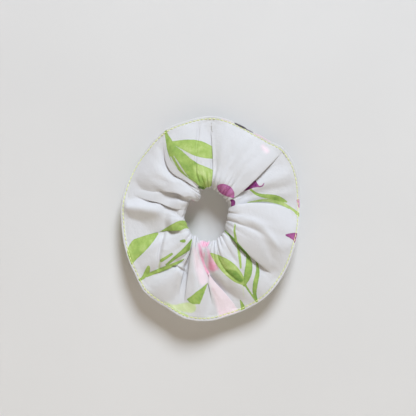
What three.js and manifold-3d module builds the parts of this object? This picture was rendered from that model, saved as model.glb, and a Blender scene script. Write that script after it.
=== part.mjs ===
// A scrunchie: a flattened tube of printed cotton, gathered on a loop of flat elastic and topstitched round
// its outer edge. It hangs on a peg by the top of its hole.
//
// Frame: millimetres, +Z up, +X to the right seen from the front, +Y towards the wall behind.
// The origin is the point where the peg bears on the top of the hole, half way through the ring's depth.
//
// The ring stretches, so the tube, the elastic and the threads are cut into sections that slide apart
// along the elastic's path. The path is opened at the tube's join seam, between top_end and top_start.

import * as THREE from "three";
import { mergeVertices } from "three/addons/utils/BufferGeometryUtils.js";
import Module from "manifold-3d";

const wasm = await Module();
wasm.setup();

// Driving dimensions

const HOLE = { x: -1, z: -18.3, halfWidth: 12.8, halfHeight: 18.3 };
const OUTSIDE = { x: 1.7, z: -21.4, halfWidth: 62.5, halfHeight: 71 };
const RING_WIDTH = 51; // from the hole to the outer edge, on average
const EDGE_HALF = 0.8; // half the thickness of the turned and topstitched edge
const PUFF_HALF = 9.7; // how far the cloth stands proud of that, where it is fullest
const FULLEST = 0.25; // share of the ring's width, from the hole, where it is fullest
const EDGE_STARTS = 0.94; // share of the ring's width where the flat outer edge starts
const BACK_FLAT = 9; // depth at which the back lies flat
const CLOTH = 1; // thickness of the tube's wall, two layers at the seams
const GAP = 0.4; // between neighbouring pieces

const ELASTIC = { share: 0.1, thickness: 1.2, width: 6, lapLength: 14 };
const THREAD = 0.5;
const EDGE_THREAD_SHARE = 0.966; // where the topstitching runs, across the ring's width
const STITCH_DEPTH = 0.4;

const STEPS_ROUND = 64;
const STEPS_ACROSS = 7;

// Sections, clockwise from the join seam as seen from the front. Each has its middle and the half angle
// that it spans, in degrees; 90 is straight up.

const FULL_HALF_ANGLE = 22.5;
const NAMES = ["upper_right", "right", "lower_right", "bottom", "lower_left", "left", "upper_left"];
const sections = [
  { name: "top_start", middle: 90 - FULL_HALF_ANGLE / 2, half: FULL_HALF_ANGLE / 2 },
  ...NAMES.map((name, i) => ({ name, middle: 45 - 2 * FULL_HALF_ANGLE * i, half: FULL_HALF_ANGLE })),
  { name: "top_end", middle: 90 + FULL_HALF_ANGLE / 2, half: FULL_HALF_ANGLE / 2 },
];

// Materials

const cloth = new THREE.MeshStandardMaterial({ color: 0xe6e3e4, roughness: 0.85, metalness: 0 });
const elasticWeave = new THREE.MeshStandardMaterial({ color: 0xf2f0ec, roughness: 0.8, metalness: 0 });
const limeThread = new THREE.MeshStandardMaterial({ color: 0xd3e07e, roughness: 0.6, metalness: 0 });
const whiteThread = new THREE.MeshStandardMaterial({ color: 0xf0f0ee, roughness: 0.6, metalness: 0 });

// Geometry helpers

function toSolid(geometry) {
  const bare = geometry.clone();
  bare.deleteAttribute("normal");
  bare.deleteAttribute("uv");
  const merged = mergeVertices(bare, 1e-4);
  return new wasm.Manifold(
    new wasm.Mesh({
      numProp: 3,
      vertProperties: merged.attributes.position.array,
      triVerts: new Uint32Array(merged.index.array),
    }),
  );
}

function toGeometry(solid) {
  const mesh = solid.getMesh();
  const geometry = new THREE.BufferGeometry();
  geometry.setAttribute("position", new THREE.BufferAttribute(mesh.vertProperties, 3));
  geometry.setIndex(new THREE.BufferAttribute(mesh.triVerts, 1));
  return geometry;
}

// Half the ring's thickness at a share of its width: a quarter round at the hole, a long taper to the edge.
function halfThickness(share) {
  if (share >= EDGE_STARTS) return EDGE_HALF;
  if (share <= FULLEST) {
    const away = 1 - share / FULLEST;
    return EDGE_HALF + PUFF_HALF * Math.sqrt(1 - away * away);
  }
  const along = (share - FULLEST) / (EDGE_STARTS - FULLEST);
  return EDGE_HALF + PUFF_HALF * Math.cos((Math.PI / 2) * along) ** 1.3;
}

// A ring that runs round the hole. The profile's points are (share of the ring's width, depth): the lathe
// turns them at radius 1 + share, and each point then moves out to its own oval between hole and outside.
function ring(profile) {
  const points = profile.map(([share, depth]) => new THREE.Vector2(1 + share, depth));
  const geometry = new THREE.LatheGeometry([...points, points[0]], STEPS_ROUND);
  const position = geometry.attributes.position;
  const lerp = THREE.MathUtils.lerp;
  for (let i = 0; i < position.count; i++) {
    const radius = Math.hypot(position.getX(i), position.getZ(i));
    const share = radius - 1;
    const acrossX = position.getX(i) / radius;
    const acrossZ = position.getZ(i) / radius;
    const halfWidth = lerp(HOLE.halfWidth, OUTSIDE.halfWidth, share);
    const halfHeight = lerp(HOLE.halfHeight, OUTSIDE.halfHeight, share);
    position.setX(i, lerp(HOLE.x, OUTSIDE.x, share) + acrossX * halfWidth);
    position.setZ(i, lerp(HOLE.z, OUTSIDE.z, share) + acrossZ * halfHeight);
  }
  return toSolid(geometry);
}

// The tube's section, taken in by inset all round.
function tubeProfile(inset) {
  const from = inset / RING_WIDTH + (inset > 0 ? 0.02 : 0);
  const to = inset > 0 ? EDGE_STARTS - 0.04 - inset / RING_WIDTH : 1;
  const shares = [from];
  for (let i = 1; i < STEPS_ACROSS; i++) shares.push(THREE.MathUtils.lerp(from, to, (i / STEPS_ACROSS) ** 1.6));
  if (inset === 0) shares.push(EDGE_STARTS);
  shares.push(to);
  const front = shares.map((share) => [share, inset - halfThickness(share)]);
  const back = shares.map((share) => [share, Math.min(halfThickness(share), BACK_FLAT) - inset]);
  return [...front, ...back.reverse()];
}

// A bar of rectangular section: it runs round the ring at a share of its width.
function barProfile(share, thickness, fromDepth, toDepth) {
  const half = thickness / 2 / RING_WIDTH;
  return [
    [share - half, fromDepth],
    [share + half, fromDepth],
    [share + half, toDepth],
    [share - half, toDepth],
  ];
}

// A wedge with its point at the middle of the hole, taken in by half a gap on both sides.
function wedge(middle, half, gap = GAP) {
  const reach = 140;
  const depth = 60;
  const toRadians = THREE.MathUtils.degToRad;
  const inset = gap / 2 / Math.sin(toRadians(half));
  const point = new THREE.Vector2(HOLE.x, HOLE.z).add(
    new THREE.Vector2(inset, 0).rotateAround(new THREE.Vector2(), toRadians(middle)),
  );
  const corner = (degrees) =>
    point.clone().add(new THREE.Vector2(reach, 0).rotateAround(new THREE.Vector2(), toRadians(degrees)));
  const shape = new THREE.Shape([point, corner(middle - half), corner(middle + half)]);
  const geometry = new THREE.ExtrudeGeometry(shape, { depth, bevelEnabled: false });
  geometry.rotateX(Math.PI / 2);
  geometry.translate(0, depth / 2, 0);
  return toSolid(geometry);
}

const object = new THREE.Group();

function addPiece(name, solid, material) {
  const mesh = new THREE.Mesh(toGeometry(solid), material);
  mesh.name = name;
  object.add(mesh);
}

// The same ring cut into one piece for each section.
function addSections(prefix, solid, material) {
  for (const { name, middle, half } of sections) {
    addPiece(`${prefix}_${name}`, solid.intersect(wedge(middle, half)), material);
  }
}

// Fabric tube: hollow, closed at the turned outer edge and folded round the elastic at the hole

const cavity = ring(tubeProfile(CLOTH));
addSections("fabric_tube", ring(tubeProfile(0)).subtract(cavity), cloth);

// Elastic: a flat band standing on edge in the fold. Its ends lap at the top, under two rows of stitching

const elasticHalf = ELASTIC.width / 2;
const elasticRing = ring(barProfile(ELASTIC.share, ELASTIC.thickness, -elasticHalf, elasticHalf));
addSections("elastic", elasticRing, elasticWeave);

const lapShare = ELASTIC.share + (ELASTIC.thickness + GAP) / RING_WIDTH;
const topOfElastic = THREE.MathUtils.lerp(HOLE.halfHeight, OUTSIDE.halfHeight, lapShare);
const lapHalfAngle = THREE.MathUtils.radToDeg(ELASTIC.lapLength / 2 / topOfElastic);
addPiece(
  "elastic_lap",
  ring(barProfile(lapShare, ELASTIC.thickness, -elasticHalf, elasticHalf)).intersect(wedge(90, lapHalfAngle)),
  elasticWeave,
);

const lapStitchShare = lapShare + (ELASTIC.thickness / 2 + GAP + STITCH_DEPTH / 2) / RING_WIDTH;
addPiece(
  "elastic_lap_stitches",
  ring(barProfile(lapStitchShare, STITCH_DEPTH, -elasticHalf + 1, elasticHalf - 1)).intersect(
    wedge(90, lapHalfAngle * 0.75),
  ),
  whiteThread,
);

// Topstitching: one thread on the front of the outer edge, one on the back

const near = EDGE_HALF + GAP;
const far = near + THREAD;
addSections("edge_thread_front", ring(barProfile(EDGE_THREAD_SHARE, THREAD, -far, -near)), limeThread);
addSections("edge_thread_back", ring(barProfile(EDGE_THREAD_SHARE, THREAD, near, far)), limeThread);

// Join seam: the thread that closes the tube's two ends, just inside the wall

const seamLoop = ring(tubeProfile(CLOTH + GAP)).subtract(ring(tubeProfile(CLOTH + GAP + THREAD)));
const seamPlane = 0.6; // degrees from the join to the middle of the stitching
addPiece("join_seam_thread", seamLoop.intersect(wedge(90 - 3 * seamPlane, seamPlane, 0)), whiteThread);

export default object;
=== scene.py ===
"""The looks of a scrunchie: a printed cotton tube gathered on elastic and topstitched round its outer edge.

The cloth is one grid of points. Its columns run round the ring, clockwise from the join seam at the top, and
its rows run across the strip: from the hem inside the back ply, round the back, over the elastic at the
hole, and out along the front to the hem inside the front ply. Lengths are millimetres in the CAD's frame, +Z
up and +Y towards the wall, and turn into metres when a mesh is made. A share is a share of the ring's width,
from 0 at the hole to 1 at the outer edge. Angles are in degrees, clockwise from the top.
"""

import math
from collections import namedtuple

import bpy
import numpy as np
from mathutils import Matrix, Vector


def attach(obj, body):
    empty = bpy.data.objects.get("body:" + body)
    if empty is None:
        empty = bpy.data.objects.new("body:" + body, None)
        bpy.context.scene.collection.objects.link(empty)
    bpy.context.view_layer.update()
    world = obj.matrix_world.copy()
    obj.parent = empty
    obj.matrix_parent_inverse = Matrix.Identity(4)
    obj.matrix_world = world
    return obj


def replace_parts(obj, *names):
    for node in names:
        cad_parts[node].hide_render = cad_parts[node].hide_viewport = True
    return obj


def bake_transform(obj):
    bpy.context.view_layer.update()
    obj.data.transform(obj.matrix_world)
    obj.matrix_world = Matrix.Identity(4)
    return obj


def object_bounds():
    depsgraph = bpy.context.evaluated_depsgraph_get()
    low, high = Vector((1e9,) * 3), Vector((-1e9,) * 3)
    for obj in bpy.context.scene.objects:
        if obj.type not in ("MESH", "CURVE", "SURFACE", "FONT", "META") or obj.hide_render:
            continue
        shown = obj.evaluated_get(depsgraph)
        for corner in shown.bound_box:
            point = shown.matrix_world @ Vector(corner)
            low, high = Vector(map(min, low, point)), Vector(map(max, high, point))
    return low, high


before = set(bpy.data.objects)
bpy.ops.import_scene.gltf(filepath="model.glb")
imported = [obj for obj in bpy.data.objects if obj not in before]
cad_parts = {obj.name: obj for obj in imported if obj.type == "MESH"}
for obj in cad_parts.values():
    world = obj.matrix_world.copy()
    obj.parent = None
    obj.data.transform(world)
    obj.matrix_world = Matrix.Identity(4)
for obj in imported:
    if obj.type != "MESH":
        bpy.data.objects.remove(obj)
cad_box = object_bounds()

MM = 0.001

# Driving dimensions

HOLE_CENTRE = np.array([-1.0, -18.3])
HOLE_HALF = np.array([12.8, 18.3])
OUTER_CENTRE = np.array([(cad_box[0][i] + cad_box[1][i]) / 2 / MM for i in (0, 2)])
OUTER_HALF = np.array([(cad_box[1][i] - cad_box[0][i]) / 2 / MM for i in (0, 2)])
RING_WIDTH = float(np.mean(OUTER_HALF - HOLE_HALF))

LIP_SHARE = 0.2  # where the round turn over the elastic ends
LIP_HEIGHT = 8.2  # how far each ply stands from the ring's middle plane, next to the hole
BACK_LIMIT = 9.5  # how far the back stands behind it at most: it lies nearly flat
EDGE_HALF = 0.75  # half the thickness of the sewn outer edge
STITCH_INSET = 1.5  # from the outer edge to the topstitching
STITCH_SHARE = 1 - STITCH_INSET / RING_WIDTH
HEM_WIDTH = 8.0  # turned in between the plies
EDGE_TURN_RADIUS = 0.48 * EDGE_HALF  # where a ply turns in to its hem
WEAVE_PITCH = 0.42  # from one thread of the cotton to the next

# The outer edge, as (degrees, share of the CAD's ring width). It has a corner where a fold meets it, and runs
# nearly straight between the top and the first fold.
OUTLINE = [
    (0, 1.0), (4, 0.993), (17, 0.957), (29, 0.946), (40, 0.986), (49, 1.07), (59, 1.068), (66, 1.048),
    (76, 1.005), (88, 0.973), (108, 0.938), (124, 0.948), (140, 0.958), (155, 0.946), (170, 0.953),
    (180, 0.985), (198, 1.013), (209, 0.99), (219, 1.013), (227, 1.037), (238, 1.0), (268, 1.0),
    (281, 1.02), (299, 1.002), (313, 0.987), (329, 1.015), (342, 0.986),
]
CORNER_ROUNDING = 1.5  # degrees on each side of a corner

# The folds between the panels, clockwise. path: degrees at 0, 1/4, 1/2, 3/4 and all of the way from the hole
# to the outer edge. overlap: how far one panel is drawn over the other. depth: how far the other drops. over:
# 1 if the panel before the fold lies on the next, -1 if the next lies on it. span: the shares at its ends.
Fold = namedtuple("Fold", "path overlap depth over span")
FOLDS = [
    Fold((8, 5.3, 2.5, 0.3, 0.3), 0.9, 1.0, -1, (0, 1.1)),
    Fold((65, 60.2, 55.2, 51.9, 49.3), 3.2, 2.0, 1, (0, 1.35)),
    Fold((75, 75.5, 78, 82, 88.5), 4.4, 3.8, -1, (0, 1.05)),
    Fold((124, 128.3, 129.4, 128.9, 128.3), 3.2, 2.5, 1, (0, 1.05)),
    Fold((174, 186, 176.5, 166.5, 161), 2.8, 2.2, -1, (0, 1.15)),
    Fold((199, 191.5, 183, 179.5, 178), 1.2, 1.1, 1, (0, 0.95)),
    Fold((224, 210, 204, 201, 200), 3.0, 3.0, 1, (0, 1.05)),
    Fold((226, 213, 209.5, 206, 203), 1.8, 2.4, -1, (0.42, 1.05)),
    Fold((227, 213.4, 220.2, 228.6, 233), 1.0, 0.8, -1, (0.25, 1.0)),
    Fold((241, 251.8, 256.2, 257, 257.4), 4.4, 3.6, -1, (0, 1.1)),
    Fold((281, 280.2, 282.8, 284, 286.5), 3.8, 3.8, -1, (0, 0.95)),
    Fold((302, 299.5, 294, 290, 290), 4.0, 3.8, -1, (0, 0.62)),
    Fold((339, 320.4, 314.3, 319.3, 328), 1.9, 1.2, -1, (0, 1.15)),
]
PANELS = [
    "top", "right_upper", "right_puff", "stems", "rose_right", "rose_left", "finger", "lobe", "lower_left",
    "left_shade", "left_pleat", "left_upper", "leaf",
]

# How far each panel stands up in its middle, and how much higher its clockwise side is than the other
LIFT = dict(top=0.3, right_upper=0.2, right_puff=2.2, stems=0.6, rose_right=0.3, rose_left=0.8, finger=0.9,
            lobe=2.6, lower_left=0.8, left_shade=1.8, left_pleat=1.0, left_upper=2.0, leaf=0.5)
TILT = dict(left_shade=1.6, top=-0.6, leaf=-0.8, rose_left=0.8, stems=-0.8)

PUFF_REACH = 5.0  # how far from a fold a panel has puffed up
VALLEY_DEPTHS = (1.5, 3.4)  # between two panels, at the hole and further out
BACK_BULK = 0.5  # how much of the front's LIFT and TILT the back has
BACK_STRAIGHTNESS = 0.85  # at 1 the back's folds would run quite straight
LEAST_PANEL = 0.9  # degrees between two folds
DROP_REACH = 6.5  # how far from a fold the lower panel has come up again
RIDGE_SHARE = 0.18  # height of the upper panel's rolled edge, to the fold's depth

# Soft creases inside the panels. path: degrees at 1/4, 1/2, 3/4 and all of the way out. A depth below 0 is a
# ridge. span: the shares at its ends.
Crease = namedtuple("Crease", "path width depth span")
SOFT_CREASES = [
    Crease((261, 262.5, 264.5, 265), 5.0, 5.0, (0.25, 1.15)),
    Crease((275, 276.2, 277, 276.5), 3.2, -2.6, (0.35, 1.2)),
    Crease((339.2, 344.9, 349.6, 352.3), 0.9, 1.2, (0.05, 1.05)),
    Crease((93.9, 100.2, 110, 113), 2.6, -0.9, (0.1, 0.95)),
    Crease((97.5, 107, 119, 121), 3.5, 0.7, (0.2, 0.95)),
    Crease((88.5, 92, 97, 99), 3.5, 0.6, (0.1, 0.8)),
    Crease((64.4, 68.2, 70.3, 71.2), 3.4, 1.3, (0.15, 1.05)),
    Crease((148, 143, 142, 141), 1.6, 1.2, (0.04, 0.5)),
    Crease((305, 303, 300, 300), 2.4, 0.7, (0.15, 0.8)),
    Crease((28, 25, 22, 22), 4.5, 0.7, (0.1, 0.8)),
]

# Creases that don't run out from the hole, through points (x, z) in the ring's plane
CrossCrease = namedtuple("CrossCrease", "points width depth")
CROSS_CREASES = [
    CrossCrease([(-26, -54.8), (-22.5, -54.8), (-19, -57), (-16.4, -61)], 0.9, 2.0),
    CrossCrease([(-16.4, -61), (-19, -63.4), (-19.6, -67), (-20.1, -72), (-19.6, -76.5)], 0.8, 1.8),
    CrossCrease([(-22, -51.5), (-17, -54), (-14.5, -57)], 2.8, 1.2),
    CrossCrease([(-31.8, -31.5), (-33.5, -38.2), (-34.8, -44.8), (-35.6, -56)], 1.2, 1.5),
    CrossCrease([(-29.5, -33), (-30.8, -38.2), (-31.4, -42)], 1.8, -0.7),
    CrossCrease([(-22.4, -16.9), (-20, -18.4), (-16.5, -20.3)], 0.8, 1.6),
    CrossCrease([(-23.4, -4.3), (-19, -8.7)], 0.8, 1.2),
    CrossCrease([(-15, -5), (-9.8, -8.7)], 0.8, 1.6),
]

# Where the hole's edge bulges into the hole, or out of it if below 0, as (degrees, reach in degrees, how far)
HOLE_BULGES = [(322, 18, 4.8), (260, 9, -2.2)]

# Where the outer edge leans forward, or back if below 0, in the same way
EDGE_LEANS = [(212, 42, 3.4), (268, 14, -1.2)]

# Gathers of the two plies. even_at: the share at which they are evenly spaced. The front's are so at the
# hole, as most of the spare cloth there is in the folds. The back's are so along the strip, and deeper.
FRONT_GATHERS = dict(seed=7, count=62, even_at=0.0, deeper=1, longer=1, slanted=1)
BACK_GATHERS = dict(seed=11, count=88, even_at=1.0, deeper=2.2, longer=2, slanted=0.4)
SOFT_GATHERS = 22
STITCH_DENT = 0.16  # how far the topstitching draws the cloth in

# Waves round the ring, as (turns, height): of the cloth's surface, and of the whole ring towards the wall
CLOTH_WAVES = [(17, 0.12), (23, 0.12), (31, 0.1), (41, 0.08)]
RING_WAVES = [(2, 0.9), (3, 1.2), (5, 0.9), (8, 0.6)]

# Which body each piece of cloth starts at, and the fold where it starts
BODIES = ["top_start", "upper_right", "right", "lower_right", "bottom", "lower_left", "left", "upper_left",
          "top_end"]
PIECE_STARTS = [0, 1, 2, 3, 4, 6, 9, 12, 13]

COLUMNS_PER_PANEL = 86
COLUMN_CROWDING = 0.75  # 0 spaces the columns evenly, 1 crowds them most next to the folds
FRONT_ROWS = 84
BACK_ROWS = 60
LIP_ROWS = 20
EDGE_TURN_ROWS = 5
HEM_ROWS = 6
STITCH_ROW_GAP = 0.006  # share between the row under the stitches and the ones beside it

# The two kinds of sewing: the length of a stitch, the gap to the next, the thread's radius, and how far a
# stitch's ends sink into the cloth
EDGE_STITCH = dict(length=2.7, gap=0.15, radius=0.32, sink=0.14)
JOIN_STITCH = dict(length=1.8, gap=0.3, radius=0.2, sink=0.1)
JOIN_DEPTH = 0.7  # from the cloth's outside to the join's stitches
JOIN_MARGIN = 4  # rows between the outer edge and the join's last stitch
STITCH_RINGS = 7
STITCH_SIDES = 6
THREAD_TWIST = 0.55  # along the thread

# The camera sees this width at the scrunchie, 2.3 times its own. It looks straight at AIM
VIEW_WIDTH = 287
AIM = (-1, -4, -13.8)

# The print, and one stroke of painted shade: brush strokes on the front, as (panel, colour, tone, points). A
# point is (x, z, half width).
# tone runs from 0, pale, to 1, dark. A stroke keeps to the panels whose names start as its own does, so that
# the folds cut it. "rim" is the band outside the topstitching.

STROKES = [
    ("leaf", "green", 0.5, [(-30.5, 40, 0.8), (-29.5, 36, 1.3), (-28, 32.5, 2.3)]),
    ("leaf", "green", 0.4, [
        (-25.5, 31.5, 0.9), (-18, 29.5, 3.8), (-9.5, 27.5, 6), (-2.5, 25.5, 5.4), (2, 24, 4)]),
    ("leaf", "green", 0.55, [
        (-28, 32, 2.1), (-25.5, 26.5, 4), (-20, 19, 6.2), (-12.5, 12.5, 6.2), (-7, 8, 5.2),
        (-4, 1, 2.2)]),
    ("leaf", "green", 0.3, [(-9, 14, 3), (-4, 11, 4), (2, 8, 4.5), (-1, 3, 2.6)]),
    ("leaf", "lime", 0.1, [(-5.5, 8.5, 1.6), (-4, 4.5, 2.6), (-1, 10, 1.2)]),
    # Painted shade, not print: a dark green shadow at the foot of the leaf, where the cloth turns in at the
    # hole
    ("leaf", "deep", 0.7, [(-7, 0.5, 1), (-4.5, 0, 1)]),
    ("leaf", "vein", 0, [
        (-23.5, 29.1, 0.2), (-19, 26.2, 0.5), (-14.5, 22.8, 1.2), (-10, 20, 2), (-4, 18.4, 2.2),
        (2, 17.3, 2.9)]),
    ("leaf", "vein", 0, [(-26.8, 21.5, 0.4), (-24.8, 17, 0.8), (-22.3, 12.8, 0.6)]),
    ("leaf", "vein", 0, [(-24.6, 22, 0.3), (-21.2, 16.5, 0.65), (-17.5, 11, 0.45), (-14.5, 7.5, 0.2)]),
    ("leaf", "vein", 0, [(-28.8, 16, 0.2), (-26.5, 13, 0.8), (-24, 9, 0.8)]),
    ("top", "plum", 0.35, [
        (6.1, 1, 1), (8.8, -0.3, 3.4), (12.1, -1.9, 3.9), (14.8, -4, 2.6), (16.5, -6.6, 0.6)]),
    ("top", "rose", 0, [(37, 29, 2), (39.5, 26, 2.8)]),
    ("right_upper", "plum", 0.75, [(23.5, -1.8, 0.5), (27, 0.3, 1.5), (30.3, 2.6, 2.4)]),
    ("right_upper", "plum", 0.6, [(28, 0.8, 1), (33.6, 1.2, 0.7)]),
    ("right_upper", "plum", 0.6, [(31.5, 4.5, 0.8), (33.6, 1.4, 0.7)]),
    ("right_upper", "plum", 0.6, [(33.4, 1.2, 0.7), (35.3, 0.8, 0.5), (36.6, 1.5, 0.5), (37.6, 3.1, 0.4)]),
    ("right_upper", "green", 0.5, [
        (28.5, -1, 0.9), (32, -4, 1), (37, -5.5, 1.4), (43, -6, 1.8), (48.5, -7.5, 2.1),
        (53.5, -9.5, 0.7)]),
    ("right_upper", "green", 0.25, [
        (26.5, -10, 0.4), (33, -8.8, 0.8), (39, -8.4, 1.1), (46, -9.2, 1.5), (51, -10.8, 1.4),
        (56, -13.8, 1.1), (60.5, -17, 1.2), (62.5, -19, 1.1)]),
    ("right_upper", "plum", 0.8, [(15, -8.5, 0.7), (16.5, -9.5, 1.7), (16, -12.5, 1.2)]),
    ("right_upper", "plum", 0.1, [(61.6, -8.5, 1.2), (62.6, -13, 1)]),
    ("right_puff", "plum", 0.6, [(53, -32.5, 0.8), (57, -33, 2.1), (60.5, -34, 3.2), (59.5, -37.5, 1)]),
    ("right_puff", "green", 0.25, [(59.5, -16.3, 1.1), (62.5, -19, 1.2)]),
    ("right_puff", "green", 0.85, [(10, -29, 0.5), (15.5, -34, 0.9), (21, -40.5, 0.9), (26, -46, 0.9)]),
    ("stems", "green", 0.7, [(10, -29, 0.5), (15.5, -34, 0.9), (21, -40.5, 1), (26, -46, 0.9)]),
    ("right_puff", "green", 0.35, [(17.6, -25, 0.6), (17, -30, 0.8), (18.6, -38, 0.9)]),
    ("stems", "rose", 0.6, [(-1.5, -42, 1.2), (0.5, -48, 2), (2, -52, 3.8), (2, -54.5, 3.8)]),
    ("stems", "rose", 0.7, [(4.5, -51.5, 1.6), (5, -55.5, 1.6)]),
    ("stems", "green", 0.4, [
        (17, -25, 0.6), (17.5, -30.5, 0.8), (19.5, -39.5, 0.9), (21, -48.5, 1.1), (21.5, -55, 0.7)]),
    ("stems", "green", 0.3, [
        (1, -45, 0.7), (6.5, -49.5, 3.4), (13, -55, 5.2), (19, -61, 4.5), (23.5, -66, 1.2)]),
    ("stems", "green", 0.8, [(12, -57, 1.6), (17, -59, 3.4), (21.5, -63.5, 2.4)]),
    ("stems", "green", 0.65, [(26, -45, 0.7), (27.5, -51.5, 2.5), (26.5, -59.5, 2.9), (24, -67, 1.1)]),
    ("stems", "green", 0.6, [
        (31.5, -47, 0.6), (33, -51.5, 0.8), (33.5, -58.5, 1.5), (31.5, -66, 1.9), (31, -73, 1.4),
        (33, -78.5, 0.8)]),
    ("stems", "green", 0.5, [(24, -66, 0.9), (28.5, -73, 0.7), (33.5, -79.5, 0.9)]),
    ("stems", "lime", 0.4, [(23, -67, 0.6), (24, -76, 0.3)]),
    ("stems", "green", 0.45, [(21.5, -78, 0.6), (23, -81.5, 1.4), (23.5, -85.5, 1.9)]),
    ("rose", "rose", 0.85, [(-7, -39, 1.6), (-5.5, -46, 1.9), (-3.5, -54, 1.9), (0, -60, 2.2)]),
    ("rose", "rose", 0.5, [(-4, -38.5, 3.4), (1, -39, 2.4), (-1, -45, 2.4)]),
    ("rose", "rose", 0.9, [(-4, -45, 1), (-1, -52, 1.6), (0.5, -58, 2)]),
    ("rose", "rose", 0.65, [(2.5, -51, 2.4), (5, -56, 3), (2, -59, 2.6)]),
    ("rose", "rose", 0.25, [(0, -60, 2), (4, -68, 1.6), (7, -74, 1)]),
    ("rose_right", "rose", -0.05, [(1, -62, 3), (8, -74, 6), (13, -86, 8)]),
    ("rose_left", "rose", -0.1, [(-10, -42, 1.8), (-8, -52, 3.4), (-4, -64, 4)]),
    ("rose", "green", 0.4, [(-1.3, -65.8, 0.3), (-8, -71.6, 0.6), (-15, -76.9, 0.6)]),
    ("rose", "green", 0.4, [(-1.3, -65.8, 0.3), (-3.8, -71.5, 0.6), (-6.9, -79.6, 0.6)]),
    ("rose", "green", 0.5, [(-15, -77, 0.6), (-12, -79.6, 0.6), (-6.9, -79.6, 0.6)]),
    ("rose", "green", 0.5, [
        (-2.3, -67.4, 0.7), (-3.6, -69.2, 1.2), (-6, -72, 2.3), (-8.5, -75, 3.2), (-9.8, -76.6, 3.2)]),
    ("rose", "green", 0.5, [(-10.5, -76.8, 2.9), (-12.8, -77.2, 2.1)]),
    ("rose", "green", 0.5, [(-9, -76.8, 2.6), (-8.2, -78.2, 1.8)]),
    ("", "lime", 0.3, [(-31, -78.5, 0.6), (-25, -82, 1.4), (-19, -82.5, 3.2), (-13, -82.5, 4.2)]),
    ("", "lime", 0.9, [(-29, -80.5, 0.6), (-22, -85.2, 1), (-15, -88.4, 1)]),
    ("lower_left", "green", 0.45, [
        (-36, -31.5, 0.8), (-42, -35, 4), (-49.5, -40, 6.4), (-54, -47.5, 3.8), (-55, -54, 0.7)]),
    ("lower_left", "green", 0.6, [(-19.5, -36.5, 0.9), (-17.5, -36.5, 1.3)]),
    ("lower_left", "green", 0.6, [
        (-12, -36.5, 1.3), (-14, -40.5, 2.4), (-17.5, -43.5, 1.9), (-23, -47.5, 1.2), (-29.5, -53, 0.9)]),
    ("lower_left", "green", 0.5, [(-33, -50, 1.2), (-26, -45.5, 1)]),
    ("lower_left", "green", 0.5, [
        (-50.5, -64.5, 0.9), (-46, -62.5, 1.1), (-43, -58, 2), (-42, -54.5, 1.2)]),
    ("lower_left", "green", 0.5, [
        (-43, -60.5, 1.3), (-39, -59, 1.8), (-32, -56, 1.7), (-24, -52.5, 1.1), (-13.5, -47.8, 0.8)]),
    ("lower_left", "lime", 0.3, [(-35.5, -58, 0.7), (-34, -51, 0.9), (-32, -47, 0.6)]),
    ("left_shade", "green", 0.5, [
        (-34.5, -30.6, 0.4), (-28, -29.5, 2.9), (-23, -28.5, 4.6), (-18, -27, 5.4), (-14.5, -28, 3)]),
    ("left_pleat", "lime", 0.1, [(-41, -12.5, 2.1), (-30, -16.5, 2.8), (-20.5, -20, 1.4)]),
    ("rim", "ink", 0.9, [(18.2, 45.2, 0.9), (21.5, 43.3, 1.1), (25.5, 41.2, 0.5)]),
    ("rim", "ink", 0.6, [(25.5, 41, 0.4), (30.2, 38.7, 0.4)]),
    ("rim", "rose", 0.7, [(31.6, 37.9, 0.8), (37, 35.4, 0.9), (42.2, 32.4, 0.6)]),
    ("rim", "rose", 0.2, [(8.5, 48, 0.7), (15.5, 45, 0.8)]),
    ("rim", "green", 0.5, [(-11.5, 49, 0.5), (-8, 49.5, 0.5)]),
]


# The back's motifs are the front's, mirrored and turned by this much
BACK_TURN = math.radians(140)
TURN_FOR_BACK = np.array([
    [-math.cos(BACK_TURN), math.sin(BACK_TURN)],
    [math.sin(BACK_TURN), math.cos(BACK_TURN)],
])
RIM_WIDTH = STITCH_INSET - 0.3  # what a stroke on the rim can reach, from the outer edge in
EDGE_MARGIN = 0.2  # what the other strokes keep off the outer edge
FAR_AWAY = 20.0  # the distance that stands for no stroke near by


# Shape functions

def smooth(x):
    x = np.clip(x, 0, 1)
    return x * x * (3 - 2 * x)


def rise(x, start, over):
    """0 up to start, 1 from start + over on, and smooth between."""
    return smooth((x - start) / over)


def bell(x):
    return np.exp(-(x ** 2))


def lerp(a, b, t):
    return a + (b - a) * t


def s_curve(x):
    """0 far away, 1 at x = 1 and -1 at x = -1."""
    return x * np.exp((1 - x * x) / 2)


def soft_max(a, b, blend):
    """The larger of a and b, with the corner between them rounded."""
    return (a + b + np.sqrt((a - b) ** 2 + blend ** 2)) / 2


def degrees_past(degrees, middle):
    """How far clockwise of middle, from -180 to 180."""
    return (degrees - middle + 180) % 360 - 180


def bumps(degrees, places):
    """The sum of smooth bumps round the ring: places is a list of (degrees, reach in degrees, height)."""
    total = np.zeros_like(degrees)
    for at, reach, height in places:
        total += height * bell(degrees_past(degrees, at) / reach)
    return total


def ripple(degrees, share, waves, seed):
    """A smooth random surface, periodic round the ring: waves is a list of (turns, amplitude)."""
    random = np.random.default_rng(seed)
    total = 0
    for turns, amplitude in waves:
        phase, drift = random.uniform(0, 2 * math.pi), random.uniform(-3, 3)
        total = total + amplitude * np.sin(np.radians(degrees) * turns + drift * share + phase)
    return total


def outline_share(degrees):
    """How far out the outer edge is, as a share of the CAD's ring width, with slightly rounded corners."""
    angles = [a for a, _ in OUTLINE]
    shares = [s for _, s in OUTLINE]
    spread = np.linspace(-CORNER_ROUNDING, CORNER_ROUNDING, 5)
    return np.mean([np.interp((degrees + d) % 360, angles, shares, period=360) for d in spread], axis=0)


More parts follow.
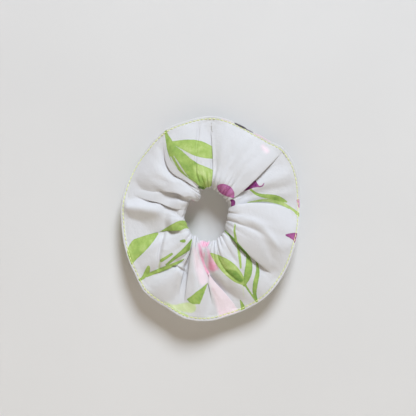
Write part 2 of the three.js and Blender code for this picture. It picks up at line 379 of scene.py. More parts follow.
def ring_point(degrees, share):
    """The point (x, z) at an angle clockwise from the top and a share of the way from hole to outer edge. The
    outline's corners grow out of a plain oval."""
    a = np.radians(degrees)
    toward = np.stack([np.sin(a), np.cos(a)], axis=-1)
    hole = HOLE_CENTRE + HOLE_HALF * toward
    outer = OUTER_CENTRE + OUTER_HALF * toward
    reach = share * lerp(1, outline_share(degrees), rise(share, 0, 1 / 1.4))
    return lerp(hole, outer, reach[..., None])


def fold_path(fold, share, back):
    """A fold's angle at each share of the ring's width. On the back the folds run straighter."""
    knots = np.linspace(0, 1, len(fold.path))
    curve = np.polynomial.Polynomial.fit(knots, fold.path, len(knots) - 1)
    front = curve(np.clip(share, 0, 1))
    if not back:
        return front
    straight = lerp(fold.path[0], fold.path[-1], smooth(share))
    return lerp(front, straight, rise(share, 0, 1 / 6) * BACK_STRAIGHTNESS)


def fold_angles(share, back):
    """Angles of all the folds, and the first one again a full turn on, each as an array over share."""
    angles = [fold_path(fold, share, back) for fold in FOLDS]
    for i in range(1, len(angles)):
        angles[i] = np.maximum(angles[i], angles[i - 1] + LEAST_PANEL)
    return np.array(angles + [angles[0] + 360])


def fold_strength(fold, share):
    """How much of a fold there is, from 0 to 1: it comes and goes smoothly at the ends of its span."""
    start, end = fold.span
    if start > 0:
        begun = rise(share, start, 0.14)
    else:
        begun = lerp(0.45, 1, rise(share, 0, 0.2))
    return begun * (1 - rise(share, end - 0.4, 0.4))


# The grid's columns and rows

def make_columns():
    """Panel number and position across the panel of each column, denser next to the folds."""
    even = np.linspace(0, 1, COLUMNS_PER_PANEL, endpoint=False)
    across = lerp(even, (1 - np.cos(math.pi * even)) / 2, COLUMN_CROWDING)
    panel = np.repeat(np.arange(len(FOLDS)), len(across))
    return np.append(panel, len(FOLDS) - 1), np.append(np.tile(across, len(FOLDS)), 1.0)


def ply_height(share):
    """How far a ply stands from the ring's middle plane beyond the lip. Outside the stitches it is flat."""
    along = np.clip((share - LIP_SHARE) / (STITCH_SHARE - LIP_SHARE), 0, 1)
    return EDGE_HALF + (LIP_HEIGHT - EDGE_HALF) * np.cos(along * math.pi / 2) ** 0.9


def ply_rows(count):
    """Share, height and normal (out of the hole, away from the middle plane) of a ply's rows, from the
    middle of the lip to the end of the hem, and the number of the row at the outer edge."""
    turn = np.linspace(0, math.pi / 2, LIP_ROWS)
    lip_share = LIP_SHARE * (1 - np.cos(turn))
    lip_height = LIP_HEIGHT * np.sin(turn)

    beyond = lerp(LIP_SHARE, 1, np.linspace(0, 1, count)[1:])
    at_stitches = [STITCH_SHARE, STITCH_SHARE - STITCH_ROW_GAP, STITCH_SHARE + STITCH_ROW_GAP]
    beyond = np.sort(np.append(beyond, at_stitches))

    turn = np.linspace(0, math.pi, EDGE_TURN_ROWS + 1)[1:]
    turn_share = 1 + EDGE_TURN_RADIUS * np.sin(turn) / RING_WIDTH
    turn_height = EDGE_HALF - EDGE_TURN_RADIUS + EDGE_TURN_RADIUS * np.cos(turn)

    hem_share = lerp(1, 1 - HEM_WIDTH / RING_WIDTH, np.linspace(0, 1, HEM_ROWS)[1:])
    hem_height = ply_height(hem_share) - 2 * EDGE_TURN_RADIUS

    share = np.concatenate([lip_share, beyond, turn_share, hem_share])
    height = np.concatenate([lip_height, ply_height(beyond), turn_height, hem_height])
    edge = len(lip_share) + len(beyond) - 1
    out = np.gradient(share * RING_WIDTH)
    away = np.gradient(height)
    length = np.hypot(out, away)
    normal = np.stack([-away / length, out / length], axis=-1)
    normal[edge - 1:] = (0, 1)
    return share, height, normal, edge


# The cloth's folds and gathers

def make_gathers(ply):
    """Fine gathers that start at the hole, and longer, softer ones. Each keeps to one place in the strip."""
    random = np.random.default_rng(ply["seed"])
    starts = fold_angles(np.array([ply["even_at"]]), False)[:, 0]
    gathers = []
    for i in range(ply["count"]):
        angle = (i + random.uniform(-0.3, 0.3)) * 360 / ply["count"]
        reach = (0.36, 0.62) if random.random() < 0.3 else (0.18, 0.32)
        gathers.append(dict(
            angle=angle,
            depth=random.uniform(0.9, 2.3) * ply["deeper"],
            width=random.uniform(0.65, 1.1),
            reach=random.uniform(*reach) * ply["longer"],
            slant=random.uniform(-6, 6) * ply["slanted"],
            spread=random.uniform(1.2, 3.2),
        ))
    for i in range(SOFT_GATHERS):
        gathers.append(dict(
            angle=random.uniform(0, 360),
            depth=random.uniform(0.25, 0.6),
            width=random.uniform(1.6, 2.6),
            reach=random.uniform(0.5, 0.95),
            slant=random.uniform(-14, 14),
            spread=random.uniform(1.0, 2.2),
        ))
    for gather in gathers:
        angle = starts[0] + (gather.pop("angle") - starts[0]) % 360
        gather["panel"] = int(np.clip(np.searchsorted(starts, angle, side="right") - 1, 0, len(FOLDS) - 1))
        first, last = starts[gather["panel"]], starts[gather["panel"] + 1]
        gather["across"] = (angle - first) / (last - first)
    return gathers


class Ply:
    """One ply of the tube, from the middle of the lip to the end of its hem. Its points start on a smooth
    ring, and then move out of the cloth by offset and clockwise by shift."""

    def __init__(self, panel, across, rows, back):
        share, self.height, self.normal, self.edge = rows
        self.back = back
        self.panel = panel
        self.across = across[:, None]
        self.folds = fold_angles(share, back)
        self.degrees = lerp(self.folds[panel], self.folds[panel + 1], self.across)
        self.share = np.broadcast_to(share, self.degrees.shape)
        self.flat = ring_point(self.degrees, self.share)
        self.per_degree = np.radians(np.linalg.norm(self.flat - HOLE_CENTRE, axis=-1))
        self.free = 1 - rise(self.share, 0.9, 0.08)  # 0 in the sewn outer edge, where nothing puffs up
        self.offset = np.zeros(self.degrees.shape)
        self.shift = np.zeros(self.degrees.shape)
        self.puff_panels()
        self.lap_folds()
        self.gather()
        if not back:
            self.crease()
        self.ruffle()
        self.draw_in()
        self.points = self.place()

    def puff_panels(self):
        """The panels puff up between their folds."""
        before = (self.degrees - self.folds[self.panel]) * self.per_degree
        after = (self.folds[self.panel + 1] - self.degrees) * self.per_degree
        nearest = before * after / np.maximum(before + after, 1e-6)
        puff = 1 - np.exp(-((nearest / PUFF_REACH) ** 1.5))
        valley = lerp(*VALLEY_DEPTHS, rise(self.share, 0, 0.3)) * self.free
        lift = np.array([LIFT[name] for name in PANELS])[self.panel][:, None]
        tilt = np.array([TILT.get(name, 0) for name in PANELS])[self.panel][:, None]
        bulk = np.sin(math.pi * self.across) ** 0.8 * np.sin(math.pi * np.clip(self.share, 0, 1)) ** 0.8
        bulk = bulk * (BACK_BULK if self.back else 1)
        self.offset += (lift + tilt * (self.across - 0.5)) * bulk - valley * (1 - puff)

    def lap_folds(self):
        """At a fold one panel is drawn over the line, and the other drops under it."""
        for line, fold in zip(self.folds, FOLDS):
            strength = fold_strength(fold, self.share)
            room = fold.overlap * lerp(0.3, 1, rise(self.share, 0, 0.35))
            sigma = 0.45 * room
            lap = room * strength
            x = degrees_past(self.degrees, line) * self.per_degree
            x = x + fold.over * np.clip(lap - sigma, 0, None)
            self.shift -= lap * s_curve(x / sigma)
            tucked = fold.over * x
            drop = rise(tucked, -sigma, 2 * sigma) * np.exp(-np.clip(tucked - sigma, 0, None) / DROP_REACH)
            ridge = RIDGE_SHARE * bell((tucked + 2.2 * sigma) / (2.2 * sigma))
            self.offset += fold.depth * strength * (ridge - drop) * self.free

    def gather(self):
        """The back's own gathers start just behind the hole, so that both plies agree where they meet."""
        own = rise(self.share, 0, 0.16) if self.back else 0
        for gather in make_gathers(FRONT_GATHERS):
            self.press(gather, 1 - own)
        if self.back:
            for gather in make_gathers(BACK_GATHERS):
                self.press(gather, own)

    def press(self, gather, strength):
        first, last = self.folds[gather["panel"]], self.folds[gather["panel"] + 1]
        middle = lerp(first, last, gather["across"]) + gather["slant"] * self.share
        width = gather["width"] * (1 + gather["spread"] * self.share)
        x = degrees_past(self.degrees, middle) * self.per_degree / width
        depth = gather["depth"] * strength * bell(self.share / gather["reach"]) * self.free
        self.offset -= depth * bell(x)
        self.shift -= 0.35 * depth * s_curve(x)

    def crease(self):
        depth = np.zeros(self.degrees.shape)
        for crease in SOFT_CREASES:
            middle = np.interp(self.share, (0.25, 0.5, 0.75, 1), crease.path)
            x = degrees_past(self.degrees, middle) * self.per_degree / crease.width
            start, end = crease.span
            fade = rise(self.share, start, 0.15) * (1 - rise(self.share, end - 0.25, 0.25))
            depth += crease.depth * fade * bell(x)
        for crease in CROSS_CREASES:
            centre_line = [(x, z, 0) for x, z in crease.points]
            gap = stroke_distance(self.flat.reshape(-1, 2), centre_line).reshape(depth.shape)
            depth += crease.depth * bell(gap / crease.width)
        self.offset -= depth * self.free

    def ruffle(self):
        """Faint waves all over the cloth, which start just outside the hole."""
        seed = 6 if self.back else 5
        waves = ripple(self.degrees, self.share, CLOTH_WAVES, seed)
        self.offset += waves * self.free * rise(self.share, 0, 1 / 8)

    def draw_in(self):
        """The topstitching draws the cloth in. At the hole it is wrapped round the elastic, and only the
        gathers' bumps show."""
        past_stitches = (1 - self.share) * RING_WIDTH - STITCH_INSET
        self.offset -= STITCH_DENT * bell(past_stitches / 0.5)
        snug = np.clip(0.8 * self.offset + 2.0, -2.4, 1.4)
        self.offset = lerp(snug, self.offset, rise(self.share, 0.08, 0.3))

    def place(self):
        """The points (columns, rows, 3) of the ply, moved by offset and shift."""
        share = self.share
        degrees = self.degrees + self.shift / self.per_degree
        flat = ring_point(degrees, share)
        outward = flat - HOLE_CENTRE
        outward /= np.linalg.norm(outward, axis=-1, keepdims=True)
        bulge = bumps(degrees, HOLE_BULGES) * (1 - rise(share, 0, 0.35))
        flat = flat + outward * (self.normal[:, 0] * self.offset - bulge)[..., None]

        # The plies keep apart, and the back lies nearly flat
        off_centre = rise(share, 0, 1 / 20)
        least = (0.6 + 3.5 * (1 - rise(share, 0.12, 0.12))) * off_centre
        stand = self.height + self.normal[:, 1] * self.offset
        stand = soft_max(stand, least * self.free, 0.8 * off_centre * self.free)
        if self.back:
            stand = -soft_max(-stand, np.full_like(stand, -BACK_LIMIT), off_centre)

        # The whole ring waves, and its outer edge leans
        wave = ripple(degrees, 0, RING_WAVES, 3) * smooth(share) * share
        lean = bumps(degrees, EDGE_LEANS) * smooth(share) * share
        y = (stand if self.back else -stand) + wave - lean
        return np.stack([flat[..., 0], y, flat[..., 1]], axis=-1)


class Cloth:
    """The whole grid of the cloth, with what its materials need at each point."""

    def __init__(self):
        self.panel, across = make_columns()
        back = Ply(self.panel, across, ply_rows(BACK_ROWS), back=True)
        front = Ply(self.panel, across, ply_rows(FRONT_ROWS), back=False)
        self.centre_row = back.points.shape[1] - 1
        self.front_edge_row = self.centre_row + front.edge
        self.back_edge_row = self.centre_row - back.edge
        self.front_stitch_row = self.centre_row + stitch_row(front.share[0])
        self.back_stitch_row = self.centre_row - stitch_row(back.share[0])
        self.points = np.concatenate([back.points[:, :0:-1], front.points], axis=1)
        self.share = np.concatenate([-back.share[:, :0:-1], front.share], axis=1)
        self.normals = grid_normals(self.points)
        self.strip = self.strip_coordinates()

    def strip_coordinates(self):
        """Where each point was on the flat strip: along it and across it."""
        edge = self.points[:, self.front_edge_row]
        steps = np.linalg.norm(np.diff(edge, axis=0), axis=1)
        along = np.concatenate([[0], np.cumsum(steps)])
        across = np.linalg.norm(np.diff(self.points, axis=1), axis=2).mean(axis=0)
        across = np.concatenate([[0], np.cumsum(across)])
        across -= across[self.centre_row]
        shape = self.points.shape[:2]
        return np.stack([np.broadcast_to(along[:, None], shape), np.broadcast_to(across, shape)], axis=-1)


def stitch_row(shares):
    return int(np.argmin(np.abs(shares - STITCH_SHARE)))


def grid_normals(points):
    """Normals of the grid, into the tube. The grid closes on itself round the ring."""
    ring = np.concatenate([points[-2:-1], points, points[1:2]], axis=0)
    around = ring[2:] - ring[:-2]
    across = np.gradient(points, axis=1)
    normals = np.cross(across, around)
    return normals / np.maximum(np.linalg.norm(normals, axis=-1, keepdims=True), 1e-9)


# The print's outlines, as signed distances: below 0 inside a stroke

def curved(stroke):
    """A stroke's points joined by a smooth curve, as rows of (x, z, half width)."""
    knots = np.array(stroke, float)
    if len(knots) == 2:
        return knots
    steps_per_knot, window = 6, 7
    fine = np.linspace(0, len(knots) - 1, steps_per_knot * len(knots))
    knots = np.stack([np.interp(fine, np.arange(len(knots)), column) for column in knots.T], axis=1)
    padded = np.pad(knots, ((window // 2, window // 2), (0, 0)), mode="reflect", reflect_type="odd")
    return np.stack([np.convolve(column, np.ones(window) / window, "valid") for column in padded.T], axis=1)


def stroke_distance(points, stroke):
    """Distance in millimetres from each (x, z) to a stroke with rounded ends."""
    knots = curved(stroke)
    nearest = np.full(len(points), np.inf)
    for (x0, z0, w0), (x1, z1, w1) in zip(knots[:-1], knots[1:]):
        along = np.array([x1 - x0, z1 - z0])
        rel = points - (x0, z0)
        t = np.clip(rel @ along / max(along @ along, 1e-9), 0, 1)
        gap = np.linalg.norm(rel - t[:, None] * along, axis=1) - lerp(w0, w1, t)
        nearest = np.minimum(nearest, gap)
    return nearest


def front_part(cloth, panel):
    """The part of the front that a stroke may cover: its panels, or the rim."""
    inset = (1 - cloth.share) * RING_WIDTH
    front = cloth.share > 0
    if panel == "rim":
        return front & (inset < RIM_WIDTH)
    in_panel = np.array([name.startswith(panel) for name in PANELS])
    return front & in_panel[cloth.panel][:, None] & (inset > EDGE_MARGIN)


def add_stroke(field, tones, stroke, tone, where, part):
    """Adds a stroke to its colour's field on a part of the cloth. Inside the stroke its own tone takes over,
    and near its outline the tone is that of whichever stroke is nearer."""
    knots = np.array(stroke)
    margin = knots[:, 2].max() + 4
    low, high = knots[:, :2].min(axis=0) - margin, knots[:, :2].max(axis=0) + margin
    near = part & ((where > low) & (where < high)).all(axis=-1)
    gap = stroke_distance(where[near], stroke)
    nearest_tone = np.where(gap < field[near], tone, tones[near])
    tones[near] = lerp(nearest_tone, tone, smooth(-gap / 1.4))
    field[near] = np.minimum(field[near], gap)


def paint(cloth):
    """Signed distance and tone for each of the print's colours and for the painted shade, at every point of
    the cloth. The back repeats the front's motifs, mirrored and turned, the painted shade among them."""
    shape = cloth.points.shape[:2]
    colours = sorted({colour for _, colour, _, _ in STROKES})
    fields = {colour: np.full(shape, FAR_AWAY) for colour in colours}
    tones = {colour: np.zeros(shape) for colour in colours}
    place = cloth.points[..., [0, 2]]
    turned = (place - OUTER_CENTRE) @ TURN_FOR_BACK + OUTER_CENTRE
    for panel, colour, tone, stroke in STROKES:
        add_stroke(fields[colour], tones[colour], stroke, tone, place, front_part(cloth, panel))
        if panel != "rim":
            add_stroke(fields[colour], tones[colour], stroke, tone, turned, cloth.share <= 0)
    return fields, tones


# Meshes

def add_object(name, data):
    obj = bpy.data.objects.new(name, data)
    bpy.context.scene.collection.objects.link(obj)
    return obj


def new_mesh_object(name, points, faces, material):
    mesh = bpy.data.meshes.new(name)
    mesh.from_pydata((np.asarray(points).reshape(-1, 3) * MM).tolist(), [], faces)
    mesh.polygons.foreach_set("use_smooth", np.ones(len(mesh.polygons), bool))
    mesh.materials.append(material)
    return add_object(name, mesh)


def grid_faces(columns, rows):
    index = np.arange(columns * rows).reshape(columns, rows)
    a, b, c, d = index[:-1, :-1], index[1:, :-1], index[1:, 1:], index[:-1, 1:]
    return np.stack([a, d, c, b], axis=-1).reshape(-1, 4).tolist()


def store(mesh, name, values):
    kind = "FLOAT_VECTOR" if values.ndim == 2 else "FLOAT"
    attribute = mesh.attributes.new(name, kind, "POINT")
    attribute.data.foreach_set("vector" if values.ndim == 2 else "value", values.astype(np.float32).ravel())


def stretch_with(obj, ends):
    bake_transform(obj)


def piece_columns(cloth, piece):
    first = PIECE_STARTS[piece] * COLUMNS_PER_PANEL
    last = PIECE_STARTS[piece + 1] * COLUMNS_PER_PANEL
    return slice(first, last + 1)


def piece_ends(cloth, piece):
    """The two points at the hole, in metres, at the ends of a piece."""
    at_hole = cloth.points[piece_columns(cloth, piece), cloth.centre_row]
    return [tuple(at_hole[i] * MM) for i in (0, -1)]


def cloth_piece(cloth, piece, fields, tones, material):
    cut = piece_columns(cloth, piece)
    points = cloth.points[cut]
    columns, rows = points.shape[:2]
    name = f"cotton_{BODIES[piece]}_to_{BODIES[piece + 1]}"
    obj = new_mesh_object(name, points, grid_faces(columns, rows), material)
    for colour in fields:
        store(obj.data, colour, fields[colour][cut].ravel())
        store(obj.data, colour + "_tone", tones[colour][cut].ravel())
    strip = cloth.strip[cut].reshape(-1, 2)
    store(obj.data, "strip", np.concatenate([strip, np.zeros((len(strip), 1))], axis=1))
    obj.data.normals_split_custom_set_from_vertices(cloth.normals[cut].reshape(-1, 3))
    stretch_with(obj, piece_ends(cloth, piece))
    return obj


def thread_object(name, path, normals, material, length, gap, radius, sink):
    """A row of stitches along a path: each one a short thread that comes up out of the cloth and goes back.
    Returns the object, and how far along the path each of its points is, from 0 to 1."""
    steps = np.linalg.norm(np.diff(path, axis=0), axis=1)
    along = np.concatenate([[0], np.cumsum(steps)])
    count = max(1, round(along[-1] / (length + gap)))
    pitch = along[-1] / count
    arch = np.sin(math.pi * np.linspace(0, 1, STITCH_RINGS))
    rise_and_fall = arch * (radius + sink) - sink
    thick = radius * (0.35 + 0.65 * arch ** 0.4)
    turn = np.linspace(0, 2 * math.pi, STITCH_SIDES, endpoint=False)
    points, faces, places = [], [], []
    for i in range(count):
        reach = np.linspace(i * pitch + gap / 2, (i + 1) * pitch - gap / 2, STITCH_RINGS)
        middle = np.stack([np.interp(reach, along, path[:, axis]) for axis in range(3)], axis=1)
        up = np.stack([np.interp(reach, along, normals[:, axis]) for axis in range(3)], axis=1)
        side = np.cross(np.gradient(middle, axis=0), up)
        side /= np.linalg.norm(side, axis=1, keepdims=True)
        middle = middle + up * rise_and_fall[:, None]
        across = side[:, None] * (thick[:, None] * np.cos(turn))[..., None]
        upward = up[:, None] * (thick[:, None] * np.sin(turn))[..., None]
        points.append((middle[:, None] + across + upward).reshape(-1, 3))
        places.append(np.repeat(reach, STITCH_SIDES))
        faces += tube_faces(i * STITCH_RINGS * STITCH_SIDES)
    obj = new_mesh_object(name, np.concatenate(points), faces, material)
    places = np.concatenate(places)
    store(obj.data, "thread", places)
    return obj, places / along[-1]


def tube_faces(base):
    """Faces of one stitch, closed at both ends, whose points start at number base."""
    index = base + np.arange(STITCH_RINGS * STITCH_SIDES).reshape(STITCH_RINGS, STITCH_SIDES)
    wrapped = np.concatenate([index, index[:, :1]], axis=1)
    a, b, c, d = wrapped[:-1, :-1], wrapped[1:, :-1], wrapped[1:, 1:], wrapped[:-1, 1:]
    sides = np.stack([a, b, c, d], axis=-1).reshape(-1, 4).tolist()
    return sides + [index[0].tolist(), index[-1][::-1].tolist()]


def edge_stitches(cloth, piece, row, side, material):
    cut = piece_columns(cloth, piece)
    name = f"topstitch_{side}_{BODIES[piece]}_to_{BODIES[piece + 1]}"
    outward = -cloth.normals[cut, row]
    obj, places = thread_object(name, cloth.points[cut, row], outward, material, **EDGE_STITCH)
    stretch_with(obj, piece_ends(cloth, piece))
    return obj


def join_seam(cloth, material):
    """The stitching that closes the strip's two ends, just inside the cloth, from edge to edge."""
    rows = slice(cloth.back_edge_row + JOIN_MARGIN, cloth.front_edge_row - JOIN_MARGIN)
    inward = cloth.normals[0, rows]
    path = cloth.points[0, rows] + inward * JOIN_DEPTH
    obj, _ = thread_object("join_seam", path, inward, material, **JOIN_STITCH)
    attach(obj, "top_start")
    return obj


# Materials

def linear(red, green, blue):
    """A colour from its 0 to 255 screen values, all of them above 10."""
    return [((value / 255 + 0.055) / 1.055) ** 2.4 for value in (red, green, blue)] + [1]


class Nodes:
    """Short ways to add shader nodes. An input is a number, a colour or another node's output."""

    def __init__(self, name):
        self.material = bpy.data.materials.new(name)
        self.material.use_nodes = True
        self.tree = self.material.node_tree
        self.shader = self.tree.nodes["Principled BSDF"]

    def add(self, kind, inputs, **settings):
        made = self.tree.nodes.new("ShaderNode" + kind)
        for key, value in settings.items():
            setattr(made, key, value)
        for key, value in inputs.items():
            self.put(made.inputs[key], value)
        return made

    def put(self, socket, value):
        if isinstance(value, bpy.types.NodeSocket):
            self.tree.links.new(value, socket)
        else:
            socket.default_value = value

    def attribute(self, name, output="Fac"):
        return self.add("Attribute", {}, attribute_name=name).outputs[output]

    def math(self, operation, first, second=0.0):
        return self.add("Math", {0: first, 1: second}, operation=operation).outputs[0]

    def range(self, value, low, high, to_low=0.0, to_high=1.0):
        inputs = {"Value": value, "From Min": low, "From Max": high, "To Min": to_low, "To Max": to_high}
        return self.add("MapRange", inputs, interpolation_type="SMOOTHSTEP").outputs[0]

    def mix(self, factor, first, second, blend="MIX"):
        made = self.add("Mix", {0: factor, 6: first, 7: second}, data_type="RGBA", blend_type=blend)
        return made.outputs[2]

    def noise(self, vector, scale, detail=3.0, stretch=None, roughness=0.5):
        if stretch:
            vector = self.add("Mapping", {"Vector": vector, "Scale": stretch}).outputs[0]
        inputs = {"Vector": vector, "Scale": scale, "Detail": detail, "Roughness": roughness}
        return self.add("TexNoise", inputs).outputs["Fac"]

    def ramp(self, value, stops):
        made = self.add("ValToRGB", {"Fac": value})
        elements = made.color_ramp.elements
        while len(elements) < len(stops):
            elements.new(0.5)
        for element, (position, colour) in zip(elements, stops):
            element.position = position
            element.color = linear(*colour)
        return made.outputs["Color"]

    def bump(self, height, strength, distance, normal=None):
        inputs = {"Height": height, "Strength": strength, "Distance": distance}
        if normal:
            inputs["Normal"] = normal
        return self.add("Bump", inputs).outputs[0]

    def set(self, **values):
        for key, value in values.items():
            self.put(self.shader.inputs[key.replace("_", " ")], value)
        return self.material


def weave(nodes, strip):
    split = nodes.add("SeparateXYZ", {"Vector": strip})
    turn = math.pi / WEAVE_PITCH
    warp = nodes.math("SINE", nodes.math("MULTIPLY", split.outputs[0], turn))
    weft = nodes.math("SINE", nodes.math("MULTIPLY", split.outputs[1], turn))
    checks = nodes.math("MULTIPLY", warp, weft)
    slub_warp = nodes.noise(strip, 1.0, detail=2.0, stretch=(2.2, 0.12, 1))
    slub_weft = nodes.noise(strip, 1.0, detail=2.0, stretch=(0.12, 2.2, 1))
    return checks, nodes.math("ADD", slub_warp, slub_weft)


def cotton_material():
    nodes = Nodes("printed_cotton")
    strip = nodes.attribute("strip", "Vector")
    checks, slubs = weave(nodes, strip)
    cloudy = nodes.noise(strip, 0.045, detail=2.0)
    white = nodes.ramp(cloudy, [(0.3, (211, 211, 214)), (0.7, (217, 217, 221))])
    colour = nodes.mix(nodes.range(slubs, 0.8, 1.25, 0.0, 0.1), white, linear(198, 196, 197))

    wander = nodes.math("SUBTRACT", nodes.noise(strip, 0.55, detail=3.0), 0.5)
    pigment = nodes.math("SUBTRACT", nodes.noise(strip, 0.16, detail=4.0, roughness=0.6), 0.5)
    grain = nodes.math("SUBTRACT", nodes.noise(strip, 1.6, detail=2.0), 0.5)

    def edge(name, wobble):
        return nodes.math("ADD", nodes.attribute(name), nodes.math("MULTIPLY", wander, wobble))

    def wash(under, name, stops, soft, wobble, strength=1.0, pool=0.12):
        # soft: how far the paint fades inside and outside its outline. pool: how much darker it dries there
        gap = edge(name, wobble)
        tone = nodes.math("ADD", nodes.attribute(name + "_tone"), nodes.math("MULTIPLY", pigment, 1.1))
        tone = nodes.math("ADD", tone, nodes.math("MULTIPLY", grain, 0.25))
        tone = nodes.math("ADD", tone, nodes.range(gap, -1.4, -0.2, 0.0, pool))
        mask = nodes.range(gap, -soft[0], soft[1], strength, 0.0)
        return nodes.mix(mask, under, nodes.ramp(tone, stops))

    colour = wash(colour, "rose", ROSE, soft=(2.6, 0.7), wobble=1.2, strength=0.9, pool=0.0)
    colour = wash(colour, "lime", LIME, soft=(1.2, 0.3), wobble=0.8, strength=0.85, pool=0.05)
    colour = wash(colour, "green", GREEN, soft=(0.35, 0.12), wobble=0.5)
    # Painted shade: the dark green shadow at the foot of the leaf, next to the hole
    colour = wash(colour, "deep", SHADE_GREEN, soft=(0.5, 0.25), wobble=0.5, strength=0.9, pool=0.0)
    vein = nodes.range(edge("vein", 0.5), -0.3, 0.15, 0.85, 0.0)
    colour = nodes.mix(vein, colour, white)
    colour = wash(colour, "plum", PLUM, soft=(0.3, 0.12), wobble=0.5)
    colour = wash(colour, "ink", INK, soft=(0.3, 0.15), wobble=0.4, strength=0.9, pool=0.0)

    height = nodes.math("ADD", nodes.math("MULTIPLY", checks, 0.35), slubs)
    normal = nodes.bump(height, strength=0.35, distance=0.12 * MM)
    crumple = nodes.noise(strip, 0.3, detail=4.0, roughness=0.55)
    normal = nodes.bump(crumple, strength=0.5, distance=0.45 * MM, normal=normal)
    roughness = nodes.range(slubs, 0.7, 1.3, 0.84, 0.95)
    return nodes.set(Base_Color=colour, Roughness=roughness, Normal=normal, Sheen_Weight=0.08,
                     Sheen_Roughness=0.5, Specular_IOR_Level=0.25)


def thread_material(name, pale, dark):
    """Two-ply sewing thread: the twist shows as bands, in the bump and as painted shade in the grooves of the
    colour.
    """
    nodes = Nodes(name)
    along = nodes.attribute("thread")
    twist = nodes.math("SINE", nodes.math("MULTIPLY", along, 2 * math.pi / THREAD_TWIST))
    fuzz = nodes.noise(nodes.attribute("thread", "Vector"), 2.0, detail=2.0)
    # Painted shade: the colour is darker in the twist's grooves, on top of its random fuzz
    tone = nodes.math("ADD", nodes.math("MULTIPLY", twist, 0.25), fuzz)
    colour = nodes.ramp(tone, [(0.25, dark), (0.75, pale)])
    return nodes.set(Base_Color=colour, Roughness=nodes.range(fuzz, 0.3, 0.7, 0.45, 0.6),
                     Normal=nodes.bump(twist, strength=0.4, distance=0.08 * MM), Sheen_Weight=0.15)


def elastic_material():
    """Braided elastic: fine ribs along the band, crossed by the covering yarn."""
    nodes = Nodes("elastic_band")
    place = nodes.add("TexCoord", {}).outputs["Object"]
    split = nodes.add("SeparateXYZ", {"Vector": place})
    ribs = nodes.math("SINE", nodes.math("MULTIPLY", split.outputs[1], 2 * math.pi / (0.8 * MM)))
    yarn = nodes.noise(place, 900.0, detail=2.0)
    height = nodes.math("ADD", ribs, yarn)
    colour = nodes.ramp(yarn, [(0.3, (226, 222, 214)), (0.7, (246, 244, 240))])
    return nodes.set(Base_Color=colour, Roughness=nodes.range(yarn, 0.3, 0.7, 0.7, 0.9),
                     Normal=nodes.bump(height, strength=0.6, distance=0.15 * MM), Sheen_Weight=0.1)


# The print's colours, from pale to dark, and a dark green for painted shade
GREEN = [(0.0, (206, 220, 156)), (0.45, (166, 192, 104)), (0.95, (110, 150, 68))]
LIME = [(0.0, (222, 232, 184)), (0.9, (180, 208, 110))]
# Painted shade: the dark green of the shadow at the foot of the leaf, next to the hole
SHADE_GREEN = [(0.2, (104, 146, 58)), (0.9, (62, 92, 40))]
PLUM = [(0.0, (214, 150, 196)), (0.5, (174, 94, 152)), (1.0, (112, 36, 104))]
ROSE = [(0.0, (242, 226, 234)), (0.5, (242, 186, 210)), (0.95, (232, 120, 165))]
INK = [(0.2, (120, 105, 110)), (0.8, (52, 40, 46))]


# Camera, lights, wall and floor, in metres

LIT_POINT = Vector((0, 0, -0.02))
WALL_GAP = 0.004  # from the CAD's box to the wall
WALL_HALF_WIDTH = 1.2
WALL_TOP = 1.2
FLOOR_Z = -0.42
FLOOR_FRONT = -1.6


def make_camera():
    data = bpy.data.cameras.new("camera")
    data.lens = 85
    data.sensor_width = 36
    camera = add_object("camera", data)
    distance = VIEW_WIDTH * MM / 2 / (data.sensor_width / 2 / data.lens)
    x, y, z = AIM
    camera.location = (x * MM, y * MM - distance, z * MM)
    camera.rotation_euler = (math.pi / 2, 0, 0)
    bpy.context.scene.camera = camera


def add_light(name, place, size, power, colour):
    data = bpy.data.lights.new(name, "AREA")
    data.shape = "DISK"
    data.size = size
    data.energy = power
    data.color = colour
    light = add_object(name, data)
    light.location = place
    direction = LIT_POINT - Vector(place)
    light.rotation_euler = direction.to_track_quat("-Z", "Y").to_euler()


def light_scene():
    """A cool key from above, which makes the wall's shadow look warm, and a faint rear light and fill."""
    world = bpy.data.worlds.new("studio")
    bpy.context.scene.world = world
    world.use_nodes = True
    background = world.node_tree.nodes["Background"]
    background.inputs["Color"].default_value = linear(226, 208, 184)
    background.inputs["Strength"].default_value = 0.2
    add_light("key", (0.42, -1.5, 1.85), size=0.9, power=67, colour=(0.84, 0.915, 1.0))
    add_light("rear", (-0.5, 0.9, 0.7), size=0.6, power=3.4, colour=(1.0, 0.99, 0.97))
    add_light("fill", (-0.9, -1.0, 0.1), size=1.0, power=0.7, colour=(1.0, 0.7, 0.4))


def stage_material(name, low, high):
    """Matt paint that is only there from the front, so that the wall doesn't hide the back in other views."""
    nodes = Nodes(name)
    place = nodes.add("TexCoord", {}).outputs["Object"]
    mottle = nodes.noise(place, 6.0, detail=3.0)
    colour = nodes.ramp(mottle, [(0.3, low), (0.7, high)])
    nodes.set(Base_Color=colour, Roughness=0.95, Specular_IOR_Level=0.1)
    clear = nodes.add("BsdfTransparent", {}).outputs[0]
    behind = nodes.add("NewGeometry", {}).outputs["Backfacing"]
    either = nodes.add("MixShader", {0: behind, 1: nodes.shader.outputs[0], 2: clear}).outputs[0]
    nodes.put(nodes.tree.nodes["Material Output"].inputs["Surface"], either)
    return nodes.material


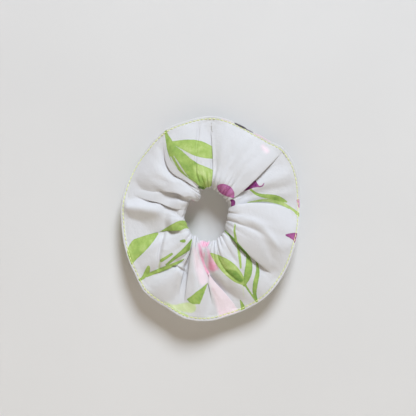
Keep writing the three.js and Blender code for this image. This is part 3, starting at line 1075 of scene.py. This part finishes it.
def make_stage():
    paints = {
        "wall": stage_material("wall_paint", (219, 218, 218), (223, 222, 222)),
        "floor": stage_material("floor_paint", (225, 213, 195), (229, 217, 200)),
    }
    wall_y = cad_box[1][1] + WALL_GAP
    left, right = -WALL_HALF_WIDTH, WALL_HALF_WIDTH
    foot = [(left, wall_y, FLOOR_Z), (right, wall_y, FLOOR_Z)]
    corners = {
        "wall": [*foot, (right, wall_y, WALL_TOP), (left, wall_y, WALL_TOP)],
        "floor": [(left, FLOOR_FRONT, FLOOR_Z), (right, FLOOR_FRONT, FLOOR_Z), *foot[::-1]],
    }
    for name, points in corners.items():
        mesh = bpy.data.meshes.new(name)
        mesh.from_pydata(points, [], [(0, 1, 2, 3)])
        mesh.materials.append(paints[name])
        obj = add_object(name, mesh)
        obj.visible_shadow = False  # so that the rear light reaches the scrunchie's back through the wall


# The object

def dress_hidden_nodes(material):
    """The elastic and its stitches stay as they are in the CAD, hidden in the cloth, with real materials."""
    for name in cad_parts:
        if name.startswith("elastic"):
            obj = bpy.data.objects[name]
            obj.data.materials.clear()
            obj.data.materials.append(material)


def build():
    cloth = Cloth()
    fields, tones = paint(cloth)
    cotton = cotton_material()
    lime_thread = thread_material("edge_thread", (244, 250, 186), (228, 238, 150))
    white_thread = thread_material("plain_thread", (240, 240, 238), (214, 214, 212))
    objects = [cloth_piece(cloth, i, fields, tones, cotton) for i in range(len(PIECE_STARTS) - 1)]
    for piece, obj in enumerate(objects):
        replaced = ["fabric_tube_" + BODIES[piece]]
        threads = {
            "front": edge_stitches(cloth, piece, cloth.front_stitch_row, "front", lime_thread),
            "back": edge_stitches(cloth, piece, cloth.back_stitch_row, "back", lime_thread),
        }
        bodies = [BODIES[piece]]
        if piece == len(PIECE_STARTS) - 2:
            replaced.append("fabric_tube_top_end")
            bodies.append("top_end")
        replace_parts(obj, *replaced)
        for side, thread in threads.items():
            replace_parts(thread, *[f"edge_thread_{side}_{body}" for body in bodies])
    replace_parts(join_seam(cloth, white_thread), "join_seam_thread")
    dress_hidden_nodes(elastic_material())


bpy.context.scene.view_settings.view_transform = "Standard"
make_camera()
light_scene()
make_stage()
build()
